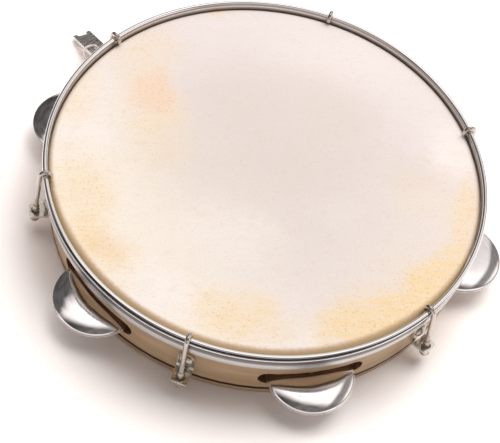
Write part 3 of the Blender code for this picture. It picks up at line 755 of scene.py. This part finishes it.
NUT_SECTIONS = (
    (1.56, 0, -8.7), (1.75, 0, -9.0), (2.35, 0, -9.0), (2.75, 0, -8.85), (3.0, 0, -8.5),
    (3.3, 1, -7.9), (3.6, 1, -7.4), (3.72, 1, -7.0), (3.76, 1, -5.0), (3.72, 1, -3.1),
    (3.6, 1, -2.75), (3.3, 1, -2.45), (3.05, 0, -2.37), (2.75, 0, -2.35), (2.35, 0, -2.3),
    (2.35, 0, -2.0), (2.35, 0, 1.0), (2.35, 0, 3.4), (2.31, 0, 4.0), (2.22, 0, 4.6),
    (2.08, 0, 5.2), (1.92, 0, 5.7), (1.78, 0, 5.92), (1.66, 0, 5.98), (1.56, 0, 5.9),
)


def make_nut(i, basis):
    bm = bmesh.new()
    rings = []
    segs = 72
    for limit, six, z in NUT_SECTIONS:
        ring = []
        for k in range(segs):
            a = 2.0 * math.pi * k / segs
            r = hexagon(a + math.pi / 6.0, 3.3, limit) if six else limit
            ring.append(bm.verts.new(Vector((r * math.cos(a), r * math.sin(a), z)) * MM))
        rings.append(ring)
    for k in range(len(rings)):
        first = rings[k]
        second = rings[(k + 1) % len(rings)]
        for j in range(segs):
            m = (j + 1) % segs
            bm.faces.new((first[j], second[j], second[m], first[m]))
    return finish_mesh("hex_nut_%d" % i, bm, DULL_NICKEL, basis, 32.0)


LEG_THICK = 1.8
SCREW_GAP = 0.15
SCREW_Z = 24.8


def make_screw(i):
    """Domed head with one driver slot, against the bracket's leg."""
    face = SHELL_R + LEG_THICK + SCREW_GAP
    outline = [(0.0, face + 2.3), (1.2, face + 2.26), (2.4, face + 2.0), (3.4, face + 1.62),
               (4.1, face + 1.15), (4.55, face + 0.75), (4.76, face + 0.4), (4.8, face + 0.2),
               (4.7, face + 0.02), (4.5, face), (2.0, face), (2.0, 143.4), (0.0, 142.6)]
    outline = [(r, z - face) for r, z in outline]
    upright = Matrix.Rotation(math.pi / 2.0, 4, "Y")
    low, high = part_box("bracket_screw_%d" % i)
    a = math.radians(BRACKET_ANGLES[i - 1])
    spin = Matrix.Rotation(a, 4, "Z")
    seat = spin @ Matrix.Translation(Vector((face, 0.0, SCREW_Z)) * MM) @ upright
    seat = Matrix.Translation(AXIS) @ seat
    screw = lathe("dome_screw_%d" % i, outline, 48, DULL_NICKEL, seat)
    bm = bmesh.new()
    turn = Matrix.Rotation(math.radians(37.0 * i), 4, "Z")
    bmesh.ops.create_cube(bm, size=1.0, matrix=turn @ Matrix.Translation((0, 0, 2.25 * MM))
                          @ Matrix.Diagonal((11.0 * MM, 1.1 * MM, 1.7 * MM, 1.0)))
    groove = finish_mesh("groove_%d" % i, bm, STEEL, seat)
    mod = screw.modifiers.new("groove", "BOOLEAN")
    mod.object = groove
    mod.operation = "DIFFERENCE"
    mod.solver = "EXACT"
    bpy.context.view_layer.update()
    graph = bpy.context.evaluated_depsgraph_get()
    mesh = bpy.data.meshes.new_from_object(screw.evaluated_get(graph), depsgraph=graph)
    screw.modifiers.clear()
    screw.data = mesh
    mesh.set_sharp_from_angle(angle=math.radians(35.0))
    bpy.data.objects.remove(groove, do_unlink=True)
    return screw


for i in HOOKS:
    hook, basis = make_hook(i)
    stand_for(hook, "hook_%d" % i, "nickel", "hook_%d" % i)
    stand_for(make_nut(i, basis), "tension_nut_%d" % i, "nickel", "tension_nut_%d" % i)
    stand_for(make_screw(i), "drum", "nickel", "bracket_screw_%d" % i)

# ---- wire clip ------------------------------------------------------------------------
CLIP_WIRE_R = 0.95
CLIP_ROD_OUT = 157.46
CLIP_EYE_R = 3.65
CLIP_EYE_Z = 17.2
CLIP_Z = 14.4
eye = []
for k in range(28):
    a = math.radians(20.0 + 290.0 * k / 27.0)
    eye.append((CLIP_EYE_R * math.cos(a), CLIP_EYE_R * math.sin(a), CLIP_EYE_Z))
run = smooth_path([
    (5.2, -1.4, CLIP_EYE_Z), (8.5, 3.6, CLIP_EYE_Z - 0.5), (13.5, 6.8, CLIP_Z + 0.5),
    (18.5, 6.3, CLIP_Z), (22.8, 3.2, CLIP_Z), (24.8, -1.4, CLIP_Z), (23.7, -5.8, CLIP_Z),
    (21.4, -7.9, CLIP_Z), (20.3, -8.4, CLIP_Z - 1.3), (20.14, -8.4, CLIP_Z - 3.0),
    (20.14, -8.4, CLIP_Z - 6.0),
], 7)
bm = bmesh.new()
points, radii = round_ends(eye + run, CLIP_WIRE_R)
tube(bm, points, radii, 20)
points, radii = round_ends([(22.9, 2.9, CLIP_Z), (26.5, 3.3, CLIP_Z), (31.1, 3.9, CLIP_Z)],
                           CLIP_WIRE_R)
tube(bm, points, radii, 20)
clip_turn = Matrix.Rotation(math.radians(BRACKET_ANGLES[2]), 4, "Z")
clip_at = Matrix.Translation(AXIS) @ clip_turn @ Matrix.Translation((CLIP_ROD_OUT * MM, 0.0, 0.0))
clip = finish_mesh("wire_clip", bm, PALE_WIRE, clip_at, 50.0)
stand_for(clip, "key_clip", "nickel", "key_clip")

# ---- floor, light and camera ------------------------------------------------------------
FLOOR_R = 9.0
bm = bmesh.new()
bmesh.ops.create_circle(bm, cap_ends=True, radius=FLOOR_R, segments=96)
floor_mesh = bpy.data.meshes.new("floor")
bm.to_mesh(floor_mesh)
bm.free()
floor = bpy.data.objects.new("floor", floor_mesh)
bpy.context.scene.collection.objects.link(floor)
paper = Shade("white_floor", 0.8)
matt = paper.nodes.new("ShaderNodeBsdfDiffuse")
paper.links.new(paper.blend(paper.span(paper.noise(paper.coords, 5.0, 3.0), 0.3, 0.7),
                            (1.18, 1.145, 1.13), (1.22, 1.185, 1.17)), matt.inputs["Color"])
paper.links.new(matt.outputs[0], paper.nodes["Material Output"].inputs["Surface"])
floor_mesh.materials.append(paper.mat)


LAMP_SIZE = 1.25
LAMP_DISTANCE = 1.7
LAMP_COLOUR = (1.0, 0.985, 0.975)


def softbox(name, azimuth, elevation, power):
    light = bpy.data.lights.new(name, "AREA")
    light.shape = "RECTANGLE"
    light.size = LAMP_SIZE
    light.size_y = LAMP_SIZE
    light.energy = power
    light.color = LAMP_COLOUR
    obj = bpy.data.objects.new(name, light)
    bpy.context.scene.collection.objects.link(obj)
    a = math.radians(azimuth)
    e = math.radians(elevation)
    way = Vector((math.cos(e) * math.cos(a), math.cos(e) * math.sin(a), math.sin(e)))
    obj.location = way * LAMP_DISTANCE
    obj.rotation_euler = way.to_track_quat("Z", "Y").to_euler()
    return obj


for name, azimuth, elevation, power in (("key_light", 54.0, 64.0, 18.6),
                                        ("second_light", 112.0, 64.0, 3.6)):
    lamp = softbox(name, azimuth, elevation, power)
    lamp.visible_glossy = False

world = bpy.data.worlds.new("studio")
bpy.context.scene.world = world
world.use_nodes = True
nodes = world.node_tree.nodes
links = world.node_tree.links
direction = nodes.new("ShaderNodeTexCoord").outputs["Generated"]
split = nodes.new("ShaderNodeSeparateXYZ")
links.new(direction, split.inputs[0])


def world_span(value, low, high, out_low, out_high):
    node = nodes.new("ShaderNodeMapRange")
    node.interpolation_type = "SMOOTHSTEP"
    links.new(value, node.inputs["Value"])
    for key, number in (("From Min", low), ("From Max", high),
                        ("To Min", out_low), ("To Max", out_high)):
        node.inputs[key].default_value = number
    return node.outputs[0]


def world_calc(operation, a, b):
    node = nodes.new("ShaderNodeMath")
    node.operation = operation
    for value, socket in ((a, node.inputs[0]), (b, node.inputs[1])):
        if isinstance(value, float):
            socket.default_value = value
        else:
            links.new(value, socket)
    return node.outputs[0]


# what matt surfaces are lit by: a low even fill, and more from high up behind the drum
toward_x, toward_y, toward_z = split.outputs
back_fill = world_calc("MULTIPLY", world_span(toward_y, 0.0, 0.34, 0.0, 1.0),
                       world_span(toward_z, 0.35, 0.62, 0.0, 1.2))
fill = world_calc("ADD", world_span(toward_z, 0.0, 0.9, 0.13, 0.26), back_fill)
soft_sky = nodes["Background"]
soft_sky.inputs["Color"].default_value = (1.0, 0.925, 0.90, 1.0)
links.new(fill, soft_sky.inputs["Strength"])

# what polished metal reflects: a long panel overhead and behind, open to the right,
# ending in a ragged dark edge on the left
ragged = nodes.new("ShaderNodeTexNoise")
ragged.inputs["Scale"].default_value = 5.0
ragged.inputs["Detail"].default_value = 3.0
links.new(direction, ragged.inputs["Vector"])
rearward = world_calc("MULTIPLY", world_calc("MINIMUM", toward_y, 0.6), 0.75)
leftward = world_calc("SUBTRACT", toward_x, rearward)
leftward = world_calc("ADD", leftward, world_calc("MULTIPLY", ragged.outputs[0], 0.24))
panel = world_calc("MULTIPLY", world_span(toward_y, -0.25, 0.06, 0.0, 1.0),
                   world_span(toward_z, 0.02, 0.12, 0.0, 1.0))
panel = world_calc("MULTIPLY", panel, world_span(leftward, -0.64, -0.38, 0.03, 1.20))
panel = world_calc("MULTIPLY", panel, world_span(toward_y, 0.30, 0.60, 1.0, 0.60))
panel = world_calc("MULTIPLY", panel, world_span(toward_x, 0.46, 0.57, 1.0, 0.10))
side = world_calc("MULTIPLY", world_span(toward_x, 0.70, 0.78, 0.0, 0.95),
                  world_span(toward_z, 0.0, 0.1, 0.0, 1.0))
dim = world_calc("MULTIPLY", world_span(toward_z, 0.0, 0.9, 0.14, 0.17),
                 world_span(ragged.outputs[0], 0.40, 0.62, 0.70, 1.30))
dim = world_calc("MULTIPLY", dim, world_span(toward_x, -0.50, -0.10, 0.45, 1.0))
front = world_calc("MULTIPLY", world_span(toward_y, -0.72, -0.52, 0.55, 0.0),
                   world_span(toward_z, 0.05, 0.25, 0.0, 1.0))
shine = world_calc("ADD", world_calc("ADD", panel, side), world_calc("ADD", dim, front))
mirror_sky = nodes.new("ShaderNodeBackground")
mirror_sky.inputs["Color"].default_value = (1.0, 0.94, 0.92, 1.0)
links.new(shine, mirror_sky.inputs["Strength"])
plain = nodes.new("ShaderNodeBackground")
plain.inputs["Color"].default_value = (0.93, 0.93, 0.93, 1.0)
plain.inputs["Strength"].default_value = 1.0
ray = nodes.new("ShaderNodeLightPath").outputs
sky = nodes.new("ShaderNodeMixShader")
links.new(ray["Is Glossy Ray"], sky.inputs[0])
links.new(soft_sky.outputs[0], sky.inputs[1])
links.new(mirror_sky.outputs[0], sky.inputs[2])
pick = nodes.new("ShaderNodeMixShader")
links.new(ray["Is Camera Ray"], pick.inputs[0])
links.new(sky.outputs[0], pick.inputs[1])
links.new(plain.outputs[0], pick.inputs[2])
links.new(pick.outputs[0], nodes["World Output"].inputs["Surface"])

CAMERA_DISTANCE = 0.9
CAMERA_ELEVATION = 53.59
CAMERA_ROLL = 12.64
camera_data = bpy.data.cameras.new("camera")
camera_data.lens = 90.714
camera_data.sensor_width = 36.0
camera_data.sensor_fit = "HORIZONTAL"
camera_data.shift_x = -0.01832
camera_data.shift_y = -0.02968
camera_data.clip_end = 60.0
camera = bpy.data.objects.new("camera", camera_data)
bpy.context.scene.collection.objects.link(camera)
elevation = math.radians(CAMERA_ELEVATION)
roll = math.radians(CAMERA_ROLL)
back = Vector((0.0, -math.cos(elevation), math.sin(elevation)))
right = Vector((1.0, 0.0, 0.0))
up = back.cross(right)
look = Matrix((right, up, back)).transposed().to_4x4() @ Matrix.Rotation(roll, 4, "Z")
look.translation = AXIS + back * CAMERA_DISTANCE
camera.matrix_world = look
bpy.context.scene.camera = camera

bpy.context.scene.view_settings.view_transform = "Standard"
bpy.context.scene.view_settings.look = "None"

# ---- last update of the scene --------------------------------------------------------
bpy.context.view_layer.update()
